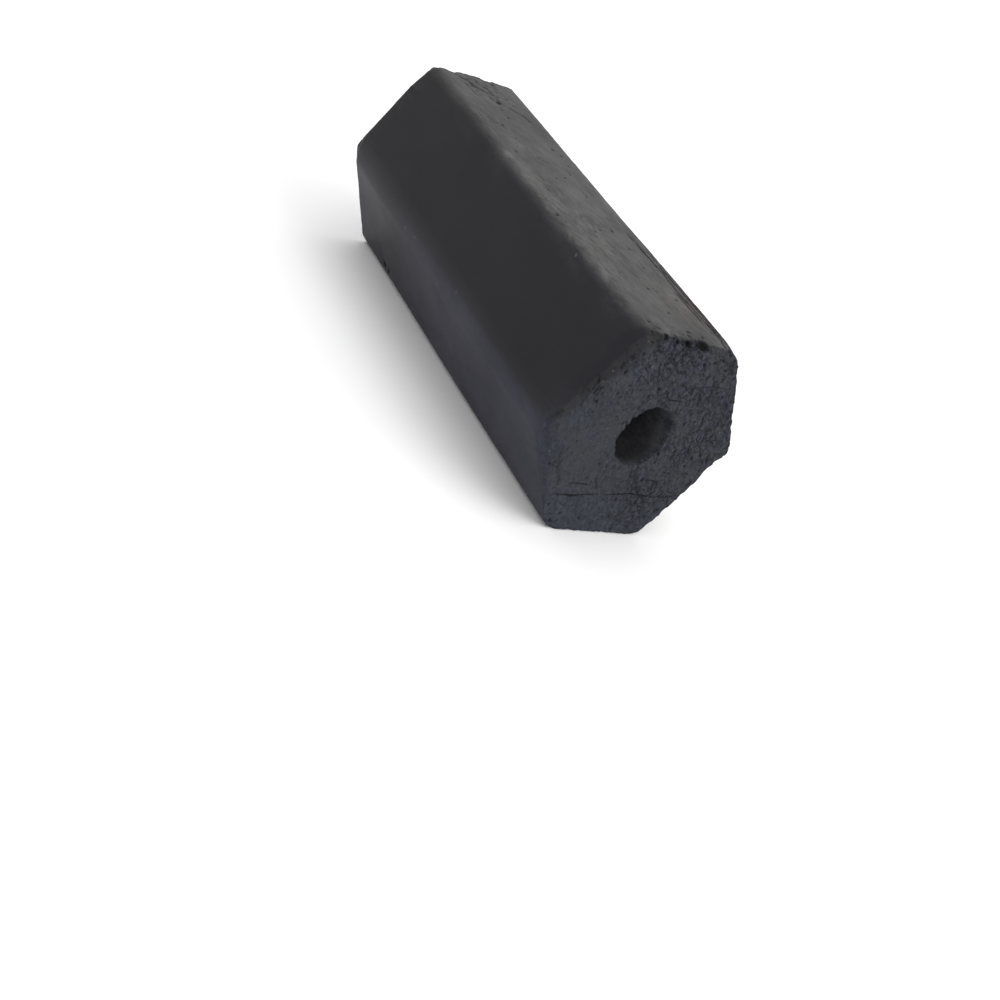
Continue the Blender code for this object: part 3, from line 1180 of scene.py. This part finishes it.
def add_sun(name, strength, direction, width, color):
    """A soft light from far away."""
    light = bpy.data.lights.new(name, "SUN")
    light.energy = strength
    light.angle = math.radians(width)
    light.color = color
    lamp = bpy.data.objects.new(name, light)
    lamp.rotation_euler = Vector(direction).to_track_quat("Z", "Y").to_euler()
    bpy.context.scene.collection.objects.link(lamp)


class MakeStudio(bpy.types.Operator):
    """Sets out the pale floor, the soft light and the camera"""

    bl_idname = "briquette.make_studio"
    bl_label = "Make Studio"

    def execute(self, context):
        scene = context.scene
        studio = scene.studio_light
        sheet = bmesh.new()
        bmesh.ops.create_grid(sheet, x_segments=1, y_segments=1, size=FLOOR_HALF)
        mesh = bpy.data.meshes.new("floor")
        sheet.to_mesh(mesh)
        sheet.free()
        material = bpy.data.materials.new("pale_floor")
        material.use_nodes = True
        shader = material.node_tree.nodes["Principled BSDF"]
        shader.inputs["Base Color"].default_value = rgba(studio.floor)
        shader.inputs["Roughness"].default_value = 0.9
        shader.inputs["Specular IOR Level"].default_value = 0.1
        mesh.materials.append(material)
        floor = bpy.data.objects.new("floor", mesh)
        scene.collection.objects.link(floor)

        world = bpy.data.worlds.new("studio")
        world.use_nodes = True
        background = world.node_tree.nodes["Background"]
        background.inputs["Color"].default_value = (1.0, 1.0, 1.0, 1.0)
        background.inputs["Strength"].default_value = studio.ambient
        scene.world = world
        add_sun("key", studio.key, *KEY_LIGHT)
        add_sun("fill", studio.fill, *FILL_LIGHT)
        add_sun("top", studio.top, *TOP_LIGHT)
        scene.view_settings.view_transform = "Standard"

        camera = bpy.data.objects.new("camera", bpy.data.cameras.new("camera"))
        camera.data.lens = CAMERA_LENS
        camera.data.sensor_width = 36.0
        camera.data.clip_start = 0.01
        camera.location = LOG_MIDDLE + CAMERA_PLACE
        camera.rotation_euler = Euler([math.radians(turn) for turn in CAMERA_TURN], "XYZ")
        scene.collection.objects.link(camera)
        scene.camera = camera
        return {"FINISHED"}


class BriquettePanel(bpy.types.Panel):
    """Lists the briquette's sizes and steps"""

    bl_idname = "VIEW3D_PT_briquette"
    bl_label = "Charcoal Briquette"
    bl_space_type = "VIEW_3D"
    bl_region_type = "UI"
    bl_category = "Briquette"

    def draw(self, context):
        layout = self.layout
        scene = context.scene
        for group in (scene.briquette_sizes, scene.char_finish, scene.studio_light):
            box = layout.box()
            for name in group.__annotations__:
                box.prop(group, name)
        layout.operator(MakeLog.bl_idname)
        layout.operator(MakeStudio.bl_idname)


CLASSES = (BriquetteSizes, CharFinish, StudioLight, MakeLog, MakeStudio, BriquettePanel)


def register():
    for entry in CLASSES:
        bpy.utils.register_class(entry)
    bpy.types.Scene.briquette_sizes = bpy.props.PointerProperty(type=BriquetteSizes)
    bpy.types.Scene.char_finish = bpy.props.PointerProperty(type=CharFinish)
    bpy.types.Scene.studio_light = bpy.props.PointerProperty(type=StudioLight)


def unregister():
    del bpy.types.Scene.studio_light
    del bpy.types.Scene.char_finish
    del bpy.types.Scene.briquette_sizes
    for entry in reversed(CLASSES):
        bpy.utils.unregister_class(entry)


def main():
    register()
    bpy.ops.briquette.make_studio()
    bpy.ops.briquette.make_log()


if __name__ == "__main__":
    main()
